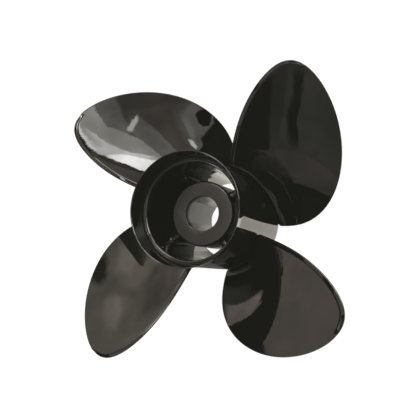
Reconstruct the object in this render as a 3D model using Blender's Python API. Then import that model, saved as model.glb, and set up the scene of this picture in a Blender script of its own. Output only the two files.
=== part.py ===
# Four-bladed through-hub-exhaust propeller for an outboard or stern-drive engine.
# Metres, +Z up. The axis is upright, the aft end is up, and the barrel's flat front rim
# lies on z = 0. Seen from aft the blades turn clockwise when they push forward.

import math

import bmesh
import bpy
from mathutils import Matrix, Vector

# Driving dimensions
TIP_RADIUS = 0.1778
BLADE_COUNT = 4
PITCH = 0.3485
PITCH_RISE = 0.0144

BARREL_LENGTH = 0.1180
BARREL_FRONT_RADIUS = 0.0555
BARREL_AFT_RADIUS = 0.0543
BORE_FRONT_RADIUS = 0.0437
BORE_AFT_RADIUS = 0.0480
RIM_BEVEL = 0.0010

RING_AFT_Z = 0.1389
RING_OUTER_RADIUS = 0.0562
RING_INNER_RADIUS = 0.0548
BEAD_RADIUS = 0.0487
BEAD_HEIGHT = 0.0022
GROOVE_RADIUS = 0.0511
GROOVE_HEIGHT = 0.0008
RING_WAIST_HEIGHT = 0.0070
RING_WAIST_FLARE = 0.0004

HUB_FRONT_RADIUS = 0.0343
HUB_AFT_RADIUS = 0.0334
HUB_FRONT_Z = 0.0143
HUB_AFT_Z = 0.0921
HUB_EDGE_ROUND = 0.0012
LIP_BORE_RADIUS = 0.0178
LIP_DEPTH = 0.0105
HEX_INRADIUS = 0.0180
HEX_ANGLE = math.radians(27.7)
FRONT_BORE_RADIUS = 0.0200
FRONT_BORE_DEPTH = 0.0090

RIB_FRONT_Z = 0.0200
RIB_AFT_Z = 0.0820
RIB_THICKNESS = 0.0085
RIB_FILLET = 0.0030
RIB_ANGLE = math.radians(45.0)

BLADE_LAG = math.radians(3.6)
RAKE_START = 0.0340
RAKE_TERMS = (0.465, -0.156, -0.79)
WIDTH_TERMS = (0.645, 0.130, -0.169, -0.160, 0.035)
WIDTH_TIP_POWER = 1.73
SKEW_TERMS = (0.114, -0.005, 0.379, -0.124)
ROOT_THICKNESS = 0.0125
TIP_THICKNESS = 0.0042
EDGE_THICKNESS = 0.0020
THICKNESS_FALL = 0.8
SECTION_FULLNESS = 0.75
ROOT_FILLET = 0.0045
FRONT_CLEARANCE = 0.0006
ROOT_SINK = 0.0020
TIP_INSET = 0.00005

GAP = 0.0003
CUTTER_OVERRUN = 0.01
RING_SEGMENTS = 72
BLADE_STATIONS = 18
BLADE_CHORD_STEPS = 12


def material(name, colour, metallic, roughness):
    """A plain Principled material."""
    mat = bpy.data.materials.new(name)
    mat.use_nodes = True
    shader = mat.node_tree.nodes["Principled BSDF"]
    shader.inputs["Base Color"].default_value = (*colour, 1.0)
    shader.inputs["Metallic"].default_value = metallic
    shader.inputs["Roughness"].default_value = roughness
    return mat


def gloss_black(name):
    """Gloss black paint over cast aluminium, one material for each sub-part."""
    return material(name + "_paint", (0.012, 0.012, 0.011), 0.0, 0.15)


def mesh_object(name, bm, mat):
    """Turn a bmesh into a named, round-shaded object in the scene."""
    bmesh.ops.recalc_face_normals(bm, faces=bm.faces)
    mesh = bpy.data.meshes.new(name)
    bm.to_mesh(mesh)
    bm.free()
    mesh.materials.append(mat)
    mesh.shade_smooth()
    mesh.set_sharp_from_angle(angle=math.radians(35.0))
    obj = bpy.data.objects.new(name, mesh)
    bpy.context.scene.collection.objects.link(obj)
    return obj


def lathe(profile, segments=RING_SEGMENTS):
    """Turn a closed (radius, height) profile about the Z axis. Radius 0 is not used."""
    bm = bmesh.new()
    rings = []
    for step in range(segments):
        angle = 2.0 * math.pi * step / segments
        rings.append([
            bm.verts.new((r * math.cos(angle), r * math.sin(angle), z)) for r, z in profile
        ])
    for step in range(segments):
        here = rings[step]
        there = rings[(step + 1) % segments]
        for k in range(len(profile)):
            after = (k + 1) % len(profile)
            bm.faces.new((here[k], there[k], there[after], here[after]))
    return bm


def arc(centre, radius, start_deg, end_deg, steps):
    """Points of a circular arc in the (radius, height) plane, ends included."""
    points = []
    for k in range(steps + 1):
        a = math.radians(start_deg + (end_deg - start_deg) * k / steps)
        points.append((centre[0] + radius * math.cos(a), centre[1] + radius * math.sin(a)))
    return points


def cutter(name, bm):
    """A hidden tool body for a Boolean."""
    bmesh.ops.recalc_face_normals(bm, faces=bm.faces)
    mesh = bpy.data.meshes.new(name)
    bm.to_mesh(mesh)
    bm.free()
    obj = bpy.data.objects.new(name, mesh)
    obj.hide_render = True
    obj.display_type = "WIRE"
    bpy.context.scene.collection.objects.link(obj)
    return obj


def cut(obj, tool):
    """Take the tool's shape out of an object."""
    modifier = obj.modifiers.new(tool.name, "BOOLEAN")
    modifier.operation = "DIFFERENCE"
    modifier.solver = "EXACT"
    modifier.object = tool


def prism(outline, low, high):
    """An upright prism over a closed (x, y) outline."""
    bm = bmesh.new()
    bottom = [bm.verts.new((x, y, low)) for x, y in outline]
    top = [bm.verts.new((x, y, high)) for x, y in outline]
    bm.faces.new(bottom)
    bm.faces.new(top)
    for k in range(len(outline)):
        after = (k + 1) % len(outline)
        bm.faces.new((bottom[k], bottom[after], top[after], top[k]))
    return bm


def circle_outline(radius, segments):
    """The corners of a regular polygon that stands for a circle."""
    angles = [2.0 * math.pi * k / segments for k in range(segments)]
    return [(radius * math.cos(a), radius * math.sin(a)) for a in angles]


def barrel_outer(z):
    """Outer radius of the barrel at a height, with its casting draft."""
    return BARREL_FRONT_RADIUS + (BARREL_AFT_RADIUS - BARREL_FRONT_RADIUS) * z / BARREL_LENGTH


def barrel_bore(z):
    """Inner radius of the barrel at a height, wider towards the aft end."""
    return BORE_FRONT_RADIUS + (BORE_AFT_RADIUS - BORE_FRONT_RADIUS) * z / BARREL_LENGTH


def make_barrel():
    """The outer tube, bevelled at its front rim, that carries the blades."""
    top = BARREL_LENGTH - GAP / 2.0
    profile = [
        (BORE_FRONT_RADIUS + RIM_BEVEL, 0.0),
        (BARREL_FRONT_RADIUS - RIM_BEVEL, 0.0),
        (BARREL_FRONT_RADIUS, RIM_BEVEL),
        (barrel_outer(top), top),
        (barrel_bore(top), top),
        (barrel_bore(RIM_BEVEL), RIM_BEVEL),
    ]
    return mesh_object("barrel", lathe(profile), gloss_black("barrel"))


def make_diffuser_ring():
    """The flared skirt: a thin rounded rim, and a groove and a low bead round the bore."""
    floor = BARREL_LENGTH + GAP / 2.0
    lip = (RING_OUTER_RADIUS - RING_INNER_RADIUS) / 2.0
    rim_centre = (RING_OUTER_RADIUS - lip, RING_AFT_Z - lip)
    profile = [
        (BORE_AFT_RADIUS, floor),
        (BARREL_AFT_RADIUS, floor),
        (BARREL_AFT_RADIUS + RING_WAIST_FLARE, floor + RING_WAIST_HEIGHT),
    ]
    profile += arc(rim_centre, lip, 0.0, 180.0, 4)
    profile += [
        (GROOVE_RADIUS, floor + GROOVE_HEIGHT),
        (BEAD_RADIUS, floor + BEAD_HEIGHT),
        (BORE_AFT_RADIUS, floor + GROOVE_HEIGHT),
    ]
    return mesh_object("diffuser_ring", lathe(profile), gloss_black("diffuser_ring"))


def turned_solid(profile, segments=RING_SEGMENTS):
    """Turn an open (radius, height) profile into a solid with flat round ends."""
    bm = bmesh.new()
    rings = []
    for r, z in profile:
        rings.append([bm.verts.new((x, y, z)) for x, y in circle_outline(r, segments)])
    for lower, upper in zip(rings, rings[1:]):
        for k in range(segments):
            after = (k + 1) % segments
            bm.faces.new((lower[k], lower[after], upper[after], upper[k]))
    bm.faces.new(rings[0])
    bm.faces.new(rings[-1])
    return bm


def hub_outer(z):
    """Outer radius of the inner hub at a height, narrower towards the aft end."""
    share = (z - HUB_FRONT_Z) / (HUB_AFT_Z - HUB_FRONT_Z)
    return HUB_FRONT_RADIUS + (HUB_AFT_RADIUS - HUB_FRONT_RADIUS) * share


def make_inner_hub():
    """The inner tube: round lip bore, hexagonal socket, round front bore."""
    centre = (HUB_AFT_RADIUS - HUB_EDGE_ROUND, HUB_AFT_Z - HUB_EDGE_ROUND)
    profile = [
        (HUB_FRONT_RADIUS - RIM_BEVEL, HUB_FRONT_Z),
        (HUB_FRONT_RADIUS, HUB_FRONT_Z + RIM_BEVEL),
    ]
    profile += arc(centre, HUB_EDGE_ROUND, 0.0, 90.0, 4)
    hub = mesh_object("inner_hub", turned_solid(profile), gloss_black("inner_hub"))
    corner = HEX_INRADIUS / math.cos(math.pi / 6.0)
    turn = [HEX_ANGLE + k * math.pi / 3.0 for k in range(6)]
    outline = [(corner * math.cos(a), corner * math.sin(a)) for a in turn]
    socket_top = HUB_AFT_Z - LIP_DEPTH
    lip_hole = circle_outline(LIP_BORE_RADIUS, RING_SEGMENTS)
    front_hole = circle_outline(FRONT_BORE_RADIUS, RING_SEGMENTS)
    past = CUTTER_OVERRUN
    cut(hub, cutter("hex_socket", prism(outline, HUB_FRONT_Z - past, HUB_AFT_Z + past)))
    cut(hub, cutter("lip_hole", prism(lip_hole, socket_top, HUB_AFT_Z + past)))
    front_top = HUB_FRONT_Z + FRONT_BORE_DEPTH
    cut(hub, cutter("front_hole", prism(front_hole, HUB_FRONT_Z - past, front_top)))
    return hub


def rib_outline(z):
    """Outline of a rib at a height: straight sides that flare into both round walls."""
    inner = hub_outer(z) + GAP
    outer = barrel_bore(z) - GAP
    side = RIB_THICKNESS / 2.0 + RIB_FILLET
    half = arc((inner + RIB_FILLET, side), RIB_FILLET, 180.0, 270.0, 3)
    half += arc((outer - RIB_FILLET, side), RIB_FILLET, 270.0, 360.0, 3)
    mirrored = [(radius, -across) for radius, across in reversed(half)]
    loop = half + [(outer, 0.0)] + mirrored + [(inner, 0.0)]
    return [(math.sqrt(radius ** 2 - across ** 2), across) for radius, across in loop]


def make_rib(number):
    """One of the four webs that hold the inner hub in the barrel."""
    bm = bmesh.new()
    angle = RIB_ANGLE + (number - 1) * 2.0 * math.pi / BLADE_COUNT
    turn = Matrix.Rotation(angle, 3, "Z")
    loops = []
    for z in (RIB_FRONT_Z, RIB_AFT_Z):
        loops.append([bm.verts.new(turn @ Vector((x, y, z))) for x, y in rib_outline(z)])
    bm.faces.new(loops[0])
    bm.faces.new(loops[1])
    count = len(loops[0])
    for k in range(count):
        after = (k + 1) % count
        bm.faces.new((loops[0][k], loops[0][after], loops[1][after], loops[1][k]))
    name = f"rib_{number}"
    return mesh_object(name, bm, gloss_black(name))


def series(terms, x, first_power):
    """Sum of terms times rising powers of x."""
    return sum(term * x ** (first_power + k) for k, term in enumerate(terms))


def blade_half_width(span):
    """Half of the blade's width as an angle about the axis, at a fraction of its span."""
    closing = math.sqrt(max(1.0 - max(span, 0.0) ** WIDTH_TIP_POWER, 0.0))
    return series(WIDTH_TERMS, span, 0) * closing


def blade_skew(span):
    """How far the middle of the blade is swept round the axis, as an angle."""
    return series(SKEW_TERMS, span, 1)


def blade_lift(radius):
    """Height of the blade's middle line, which leans aft as it goes out."""
    return RAKE_START + series(RAKE_TERMS, radius - BARREL_AFT_RADIUS, 1)


def blade_lead(span):
    """Advance along the axis for each radian of turn."""
    return (PITCH + PITCH_RISE * (span - 0.5)) / (2.0 * math.pi)


def blade_thickness(span, across):
    """Thickness of the section, full in the middle and thin at both edges."""
    full = ROOT_THICKNESS + (TIP_THICKNESS - ROOT_THICKNESS) * max(span, 0.0) ** THICKNESS_FALL
    bulge = (1.0 - across * across) ** SECTION_FULLNESS
    return EDGE_THICKNESS + (full - EDGE_THICKNESS) * bulge


def root_flare(radius):
    """How much each face stands out where the blade runs into the barrel."""
    out = radius - BARREL_FRONT_RADIUS
    if out >= ROOT_FILLET:
        return 0.0
    out = max(out, 0.0)
    return ROOT_FILLET - math.sqrt(ROOT_FILLET ** 2 - (ROOT_FILLET - out) ** 2)


def pressure_point(radius, across):
    """A point of the aft face, which is a screw surface."""
    span = (radius - BARREL_AFT_RADIUS) / (TIP_RADIUS - BARREL_AFT_RADIUS)
    angle = blade_skew(span) + across * blade_half_width(span)
    height = blade_lift(radius) + blade_lead(span) * angle
    return angle, height


def section_point(radius, across, on_suction_side):
    """A point on either face of the blade, kept above the plane of the front rim."""
    span = (radius - BARREL_AFT_RADIUS) / (TIP_RADIUS - BARREL_AFT_RADIUS)
    angle, height = pressure_point(radius, across)
    slope = math.atan2(blade_lead(span), radius)
    offset = root_flare(radius)
    if on_suction_side:
        offset = -blade_thickness(span, across) - root_flare(radius)
    angle -= offset * math.sin(slope) / radius
    height = max(height + offset * math.cos(slope), FRONT_CLEARANCE)
    return radius * math.cos(angle), radius * math.sin(angle), height


def blade_stations():
    """Radii of the sections, closer together towards the root and the tip."""
    first = barrel_bore(BARREL_LENGTH / 2.0) + ROOT_SINK
    flare = [BARREL_FRONT_RADIUS + ROOT_FILLET * f for f in (0.0, 0.15, 0.4, 1.0)]
    start = flare[-1]
    last = TIP_RADIUS - TIP_INSET
    free = [
        start + (last - start) * math.sin(0.5 * math.pi * k / BLADE_STATIONS)
        for k in range(1, BLADE_STATIONS + 1)
    ]
    return [first] + flare + free


def make_blade(number, root_cutter):
    """One blade, cut off just outside the barrel's wall."""
    bm = bmesh.new()
    steps = [
        -math.cos(math.pi * k / BLADE_CHORD_STEPS) for k in range(BLADE_CHORD_STEPS + 1)
    ]
    loops = []
    for radius in blade_stations():
        aft = [section_point(radius, s, False) for s in steps]
        front = [section_point(radius, s, True) for s in reversed(steps)]
        loops.append([bm.verts.new(p) for p in aft + front])
    for here, there in zip(loops, loops[1:]):
        for k in range(len(here)):
            after = (k + 1) % len(here)
            bm.faces.new((here[k], here[after], there[after], there[k]))
    bm.faces.new(loops[0])
    bm.faces.new(loops[-1])
    name = f"blade_{number}"
    blade = mesh_object(name, bm, gloss_black(name))
    quarter = 2.0 * math.pi / BLADE_COUNT
    blade.rotation_euler.z = RIB_ANGLE - BLADE_LAG + (number - 1) * quarter
    cut(blade, root_cutter)
    return blade


def make_root_cutter():
    """The barrel's outer shape with the parting gap, which trims the blade roots."""
    ends = [-CUTTER_OVERRUN, RING_AFT_Z + CUTTER_OVERRUN]
    profile = [(barrel_outer(z) + GAP, z) for z in ends]
    return cutter("root_cutter", turned_solid(profile))


def build():
    """Clear the scene and make every piece of the propeller."""
    for obj in list(bpy.data.objects):
        bpy.data.objects.remove(obj, do_unlink=True)
    make_barrel()
    make_diffuser_ring()
    make_inner_hub()
    for number in range(1, BLADE_COUNT + 1):
        make_rib(number)
    root_cutter = make_root_cutter()
    for number in range(1, BLADE_COUNT + 1):
        make_blade(number, root_cutter)


build()
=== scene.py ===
# %% [markdown]
# # A four-bladed boat propeller in gloss black
# The object is the propeller of an outboard engine: four broad blades on a hollow barrel,
# cast in one piece of aluminium and painted gloss black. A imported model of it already
# exists, with every part at its real place and size. This lesson builds the fine surfaces
# over that model, the paint, the lights that the paint mirrors, and the camera.
# All lengths are metres. The axis is +Z, the front rim of the barrel stands on z = 0,
# and the aft end, with the flared ring, points up.

import math

import bmesh
import bpy
import numpy as np
from mathutils import Matrix, Vector


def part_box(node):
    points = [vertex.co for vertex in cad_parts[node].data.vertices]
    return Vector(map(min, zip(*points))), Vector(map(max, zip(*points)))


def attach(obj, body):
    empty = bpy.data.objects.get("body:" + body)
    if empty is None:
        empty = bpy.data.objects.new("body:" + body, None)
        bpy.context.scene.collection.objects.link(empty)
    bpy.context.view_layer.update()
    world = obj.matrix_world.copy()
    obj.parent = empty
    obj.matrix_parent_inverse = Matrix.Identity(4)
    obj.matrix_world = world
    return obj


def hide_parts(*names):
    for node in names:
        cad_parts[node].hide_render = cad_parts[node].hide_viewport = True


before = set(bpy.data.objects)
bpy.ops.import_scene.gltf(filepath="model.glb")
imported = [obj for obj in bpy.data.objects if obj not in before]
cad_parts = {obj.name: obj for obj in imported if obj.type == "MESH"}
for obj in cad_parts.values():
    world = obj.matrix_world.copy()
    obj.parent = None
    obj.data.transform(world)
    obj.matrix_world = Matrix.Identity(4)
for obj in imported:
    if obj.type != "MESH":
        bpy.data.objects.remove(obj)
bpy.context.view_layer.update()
print("nodes in the model:", ", ".join(sorted(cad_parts)))

# %% [markdown]
# ## The driving sizes
# A propeller maker would quote a diameter, a pitch and the sizes of the barrel. Those few
# numbers, and short series for the blade's outline, sweep and rake, are all that the
# shapes below need. What the fixed model can tell, such as the height of each ring, is
# read from it, so that the two can't drift apart.

# %% Sizes that the model gives
barrel_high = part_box("barrel")[1]
ring_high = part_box("diffuser_ring")[1]
hub_low, hub_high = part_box("inner_hub")
rib_low, rib_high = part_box("rib_1")

GAP = 0.0003
BARREL_LENGTH = barrel_high.z + GAP / 2.0
BARREL_FRONT_RADIUS = barrel_high.x
RING_AFT_Z = ring_high.z
RING_OUTER_RADIUS = ring_high.x
HUB_FRONT_RADIUS = hub_high.x
HUB_FRONT_Z = hub_low.z
HUB_AFT_Z = hub_high.z
RIB_FRONT_Z = rib_low.z
RIB_AFT_Z = rib_high.z
print(f"barrel {BARREL_LENGTH * 1000:.1f} mm long, {BARREL_FRONT_RADIUS * 2000:.1f} mm across")
print(f"aft ring {RING_OUTER_RADIUS * 2000:.1f} mm across at {RING_AFT_Z * 1000:.1f} mm")

# %% [markdown]
# ## The cast and cut sizes
# These are the walls, bores and fillets of the casting, and the socket for the drive bush.
# The fixed model shows only where each piece begins and ends, so they are stated here.

# %% Sizes of the bores, the socket and the webs
BARREL_AFT_RADIUS = 0.0543
BORE_FRONT_RADIUS = 0.0437
BORE_AFT_RADIUS = 0.0480
BEAD_HEIGHT = 0.0022
GROOVE_RADIUS = 0.0511
GROOVE_HEIGHT = 0.0008
HUB_AFT_RADIUS = 0.0334
LIP_BORE_RADIUS = 0.0178
LIP_DEPTH = 0.0105
HEX_INRADIUS = 0.0180
HEX_ANGLE = math.radians(27.7)
FRONT_BORE_RADIUS = 0.0200
FRONT_BORE_DEPTH = 0.0090
RIB_THICKNESS = 0.0085
RIB_FILLET = 0.0030
RIB_ANGLE = math.radians(45.0)
print(f"bore {BORE_FRONT_RADIUS * 2000:.1f} mm, socket {HEX_INRADIUS * 2000:.1f} mm across its flats")

# %% [markdown]
# ## The sizes of the blades
# Three short series shape a blade. Width and sweep are angles that follow from the
# share of the way from the barrel to the tip. Rake is a height that follows from that way.

# %% Sizes of the blades
BLADE_COUNT = 4
TIP_RADIUS = 0.1776
PITCH = 0.3485
PITCH_RISE = 0.0144
BLADE_LAG = math.radians(3.6)
RAKE_START = 0.0340
RAKE_TERMS = (0.465, -0.156, -0.79)
WIDTH_TERMS = (0.645, 0.130, -0.169, -0.160, 0.035)
WIDTH_TIP_POWER = 1.73
SKEW_TERMS = (0.114, -0.005, 0.379, -0.124)
ROOT_THICKNESS = 0.0125
TIP_THICKNESS = 0.0042
THICKNESS_FALL = 0.8
SECTION_FULLNESS = 0.75
ROOT_FILLET = 0.0030
FRONT_CLEARANCE = 0.0006
print(f"blades {TIP_RADIUS * 2000:.1f} mm across the tips, pitch {PITCH * 1000:.0f} mm")

# %% [markdown]
# ## The camera
# The photograph was taken from above and to one side, so that it looks down into the
# barrel. The eye's place, its directions and its focal length came from matching the
# rims, the hub and the blade outlines. The picture was cropped from a larger one, which a
# small lens shift repeats.

# %% Place the camera
EYE = Vector((0.23852, -0.01360, 0.64905))
VIEW_RIGHT = Vector((0.91972, 0.19549, -0.34044))
VIEW_UP = Vector((-0.15578, 0.97773, 0.14061))
FOCAL_MM = 51.745
SENSOR_MM = 36.0
LENS_SHIFT = (-0.0500, -0.0531)


def make_camera():
    """The photograph's camera."""
    data = bpy.data.cameras.new("photo_camera")
    data.sensor_width = SENSOR_MM
    data.lens = FOCAL_MM
    data.shift_x, data.shift_y = LENS_SHIFT
    camera = bpy.data.objects.new("photo_camera", data)
    bpy.context.scene.collection.objects.link(camera)
    back = VIEW_RIGHT.cross(VIEW_UP)
    turn = Matrix((VIEW_RIGHT, VIEW_UP, back)).transposed()
    camera.matrix_world = Matrix.Translation(EYE) @ turn.to_4x4()
    bpy.context.scene.camera = camera


make_camera()
print(f"camera {EYE.length:.3f} m from the middle of the front rim")

# %% [markdown]
# ## The floor
# The propeller stands on a plain white floor in front of nothing. A white surface that is
# lit evenly looks flat in a photograph, so the floor gives off most of its light itself.
# Gloss paint would mirror that floor as well. The real floor was far below, so mirrored
# rays pass through this one and meet a white sheet further down instead.

# %% Build the floor
FLOOR_Z = -0.0002
FLOOR_SIZE = 30.0
FLOOR_COLOUR = (0.10, 0.10, 0.10)
FLOOR_GLOW = 0.96


def floor_material():
    """Matt white that glows a little less than paper in full light."""
    mat = bpy.data.materials.new("white_floor")
    mat.use_nodes = True
    shader = mat.node_tree.nodes["Principled BSDF"]
    shader.inputs["Base Color"].default_value = (*FLOOR_COLOUR, 1.0)
    shader.inputs["Roughness"].default_value = 1.0
    shader.inputs["Specular IOR Level"].default_value = 0.0
    shader.inputs["Emission Color"].default_value = (1.0, 1.0, 1.0, 1.0)
    shader.inputs["Emission Strength"].default_value = FLOOR_GLOW
    mat.cycles.emission_sampling = "NONE"
    return mat


def stage_object(name, verts, faces, mat):
    """A mesh that belongs to the studio and not to the propeller."""
    mesh = bpy.data.meshes.new(name)
    mesh.from_pydata(verts, [], faces)
    mesh.materials.append(mat)
    obj = bpy.data.objects.new(name, mesh)
    bpy.context.scene.collection.objects.link(obj)
    return obj


def make_floor():
    """A wide flat floor that mirrored rays don't meet."""
    half = FLOOR_SIZE / 2.0
    corners = [(-half, -half, 0.0), (half, -half, 0.0), (half, half, 0.0), (-half, half, 0.0)]
    floor = stage_object("floor", corners, [(0, 1, 2, 3)], floor_material())
    floor.location.z = FLOOR_Z
    floor.visible_glossy = False


make_floor()
print(f"floor {FLOOR_SIZE:.0f} m wide, {FLOOR_Z * 1000:.1f} mm from the front rim")

# %% [markdown]
# ## The room light
# An even surround lights the matt surfaces. The paint doesn't mirror it. Stray light in
# the lens lifts the blacks of a real photograph a little, and a small change to the black
# level does the same here.

# %% Light the room evenly
ROOM_LIGHT = 1.0
VEIL = (0.0090, 0.0096, 0.0071)


def make_room_light():
    """An even pale surround for matt surfaces, which the paint doesn't mirror."""
    world = bpy.data.worlds.new("room")
    world.use_nodes = True
    background = world.node_tree.nodes["Background"]
    background.inputs["Color"].default_value = (1.0, 1.0, 1.0, 1.0)
    background.inputs["Strength"].default_value = ROOM_LIGHT
    world.cycles_visibility.glossy = False
    bpy.context.scene.world = world
    bpy.context.scene.view_settings.view_transform = "Standard"


def veil_the_blacks():
    """Lift the blacks a little, as stray light in a lens does."""
    settings = bpy.context.scene.view_settings
    settings.use_curve_mapping = True
    settings.curve_mapping.black_level = [-value for value in VEIL]
    settings.curve_mapping.update()


make_room_light()
veil_the_blacks()
print("room light", ROOM_LIGHT, "and veil", VEIL)

# %% [markdown]
# ## The light cards
# Gloss black paint has hardly any colour of its own. What the eye sees on it is a dim
# mirror image of the studio, so the cards and walls round the propeller are as much a
# part of the look as the paint. Each blade is a curved mirror that sees its own piece of
# the room. An image of a real studio could light the scene, but cards that are cut to
# shape say plainly what each blade mirrors, and they can be moved one by one. No real card
# is lit quite evenly, so a noise texture clouds the light of each one a little.

# %% Mix the light of a card
NOISE_SPAN = (0.3, 0.7)
CLOUD_SCALE = 2.6
CLOUD_DETAIL = 3.0
CLOUD_RANGE = (0.72, 1.28)


def noise(tree, scale, detail, roughness=0.5):
    """The value of a noise texture whose scale is in waves per metre."""
    coords = tree.nodes.new("ShaderNodeTexCoord")
    texture = tree.nodes.new("ShaderNodeTexNoise")
    texture.inputs["Scale"].default_value = scale
    texture.inputs["Detail"].default_value = detail
    texture.inputs["Roughness"].default_value = roughness
    tree.links.new(coords.outputs["Object"], texture.inputs["Vector"])
    return texture.outputs["Fac"]


def spread(tree, value, low, high):
    """Stretch the middle of a noise value over a range of its own."""
    stretch = tree.nodes.new("ShaderNodeMapRange")
    stretch.inputs["From Min"].default_value = NOISE_SPAN[0]
    stretch.inputs["From Max"].default_value = NOISE_SPAN[1]
    stretch.inputs["To Min"].default_value = low
    stretch.inputs["To Max"].default_value = high
    tree.links.new(value, stretch.inputs["Value"])
    return stretch.outputs["Result"]


def card_material(name, colour, light):
    """Light that fades where the card's cover falls to nothing."""
    mat = bpy.data.materials.new(name)
    mat.use_nodes = True
    tree = mat.node_tree
    tree.nodes.clear()
    cover = tree.nodes.new("ShaderNodeAttribute")
    cover.attribute_name = "cover"
    clouds = noise(tree, CLOUD_SCALE, CLOUD_DETAIL)
    strength = spread(tree, clouds, light * CLOUD_RANGE[0], light * CLOUD_RANGE[1])
    glow = tree.nodes.new("ShaderNodeEmission")
    glow.inputs["Color"].default_value = (*colour, 1.0)
    tree.links.new(strength, glow.inputs["Strength"])
    clear = tree.nodes.new("ShaderNodeBsdfTransparent")
    mix = tree.nodes.new("ShaderNodeMixShader")
    out = tree.nodes.new("ShaderNodeOutputMaterial")
    tree.links.new(cover.outputs["Fac"], mix.inputs["Fac"])
    tree.links.new(clear.outputs["BSDF"], mix.inputs[1])
    tree.links.new(glow.outputs["Emission"], mix.inputs[2])
    tree.links.new(mix.outputs["Shader"], out.inputs["Surface"])
    mat.cycles.emission_sampling = "NONE"
    return mat


print("clouds in the light of a card:", CLOUD_RANGE)

# %% [markdown]
# ## The shape of a card
# A card could be a flat plane, but then its far corners would be further away than its
# middle. Here each card is a piece of a large sphere round the propeller, and its corners
# are plain directions: degrees round the axis, and degrees above the floor. Rings of
# points run from the middle to the rim, where a stored value, the cover, falls from one to
# nothing and so makes a soft edge. Each call gives a card's name, its light and colour,
# how much of its width is soft, its layer, and its corners. A card in a higher layer hangs
# in front of the others.

# %% Cut a card to shape
CARD_AIM = Vector((0.0, 0.0, 0.06))
CARD_DISTANCE = 2.0
LAYER_STEP = 0.04
CARD_STEP = math.radians(4.0)
CARD_RINGS = 6


def lit_surface(name, places, faces, cover, light, colour):
    """A surface whose light shows in mirrored rays alone, as far as its cover lets it."""
    surface = stage_object(name, places, faces, card_material(name + "_light", colour, light))
    attribute = surface.data.attributes.new("cover", "FLOAT", "POINT")
    attribute.data.foreach_set("value", cover)
    surface.visible_camera = False
    surface.visible_diffuse = False
    surface.visible_shadow = False
    surface.visible_transmission = False
    surface.visible_volume_scatter = False
    return surface


def closed_rows(rows, count, first=0):
    """Faces between closed rows of points, which start at the point numbered first."""
    faces = []
    for low in range(first, first + (rows - 1) * count, count):
        high = low + count
        for k in range(count):
            after = (k + 1) % count
            faces.append((low + k, low + after, high + after, high + k))
    return faces


def toward(azimuth, elevation):
    """Unit vector of a direction in degrees."""
    a = math.radians(azimuth)
    e = math.radians(elevation)
    return Vector((math.cos(e) * math.cos(a), math.cos(e) * math.sin(a), math.sin(e)))


def card_rim(corners):
    """Directions along a card's outline, with short steps between its corners."""
    rim = []
    for k, corner in enumerate(corners):
        here = toward(*corner)
        there = toward(*corners[(k + 1) % len(corners)])
        steps = max(1, math.ceil(here.angle(there) / CARD_STEP))
        rim += [here.lerp(there, s / steps).normalized() for s in range(steps)]
    return rim


def hang(name, light, colour, soft, layer, corners):
    """Hang a curved card with a soft edge. The soft share of its width fades out."""
    distance = CARD_DISTANCE - LAYER_STEP * layer
    rim = card_rim(corners)
    count = len(rim)
    middle = sum(rim, Vector()).normalized()
    shares = [(1.0 - soft) * (k + 1) / CARD_RINGS for k in range(CARD_RINGS)] + [1.0]
    verts = [middle] + [middle.lerp(point, share).normalized() for share in shares for point in rim]
    places = [CARD_AIM + vert * distance for vert in verts]
    faces = [(0, 1 + k, 1 + (k + 1) % count) for k in range(count)]
    faces += closed_rows(CARD_RINGS + 1, count, first=1)
    cover = [1.0] * (len(verts) - count) + [0.0] * count
    lit_surface(name, places, faces, cover, light, colour)


def count_lit_surfaces():
    """Print how many lit surfaces the studio has so far."""
    lit = [mat for mat in bpy.data.materials if mat.name.endswith("_light")]
    print("lit surfaces so far:", len(lit))


BROWN_GREY = (1.0, 0.84, 0.77)
OLIVE_GREY = (1.0, 0.90, 0.76)
PALE_GREY = (1.0, 0.96, 0.88)
SOFT_WHITE = (1.0, 0.99, 0.97)
BLACK = (0.0, 0.0, 0.0)
print("cards hang", CARD_DISTANCE, "m away")

# %% [markdown]
# ## The sheet below
# The steep walls of the barrel mirror what lies far below: a white sheet less than twice
# as wide as the propeller, dimmer on one side, and a stretch of floor further out, which
# shows as thin lines along the fillets and rounded rims. Close under the barrel the sheet
# lies in the propeller's own shadow, and a few dark rings stand for that. Each line of
# numbers is one sector of the sheet: where it starts and ends round the axis, the radii
# where it begins to fade and where it ends, and its light. The second table gives the far
# floor and the dark rings: height above the sheet, radii, how much shows at each radius,
# start, end and light.

# %% Lay the sheet and the far floor
SHEET_Z = -0.60
SHEET_WHITE = (1.0, 0.95, 0.85)
SHEET_MIDDLE_RADIUS = 0.001
SHEET_SECTORS = (
    (-60, 88, 0.328, 0.334, 1.40),
    (88, 122, 0.289, 0.293, 0.95),
    (122, 133, 0.289, 0.293, 0.62),
    (133, 160, 0.289, 0.296, 0.45),
    (160, 200, 0.289, 0.297, 0.80),
    (200, 233, 0.290, 0.294, 1.12),
    (233, 245, 0.284, 0.289, 1.12),
    (245, 300, 0.299, 0.306, 1.12),
)
RING_STEP = 5.0
LEVEL_RINGS = (
    ("far_floor", 0.0, (0.50, 0.60, 1.20, 1.60), (0.0, 1.0, 1.0, 0.0), -90, 200, 0.9),
    ("sheet_shade", 0.002, (0.18, 0.240, 0.272), (1.0, 0.7, 0.0), 120, 165, 0.1),
    ("barrel_shade_185", 0.58, (0.048, 0.20), (1.0, 1.0), 185, 212, 0.0),
    ("barrel_shade_212", 0.58, (0.048, 0.20), (1.0, 1.0), 212, 250, 0.30),
    ("barrel_shade_250", 0.58, (0.048, 0.20), (1.0, 1.0), 250, 280, 0.12),
)


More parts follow.
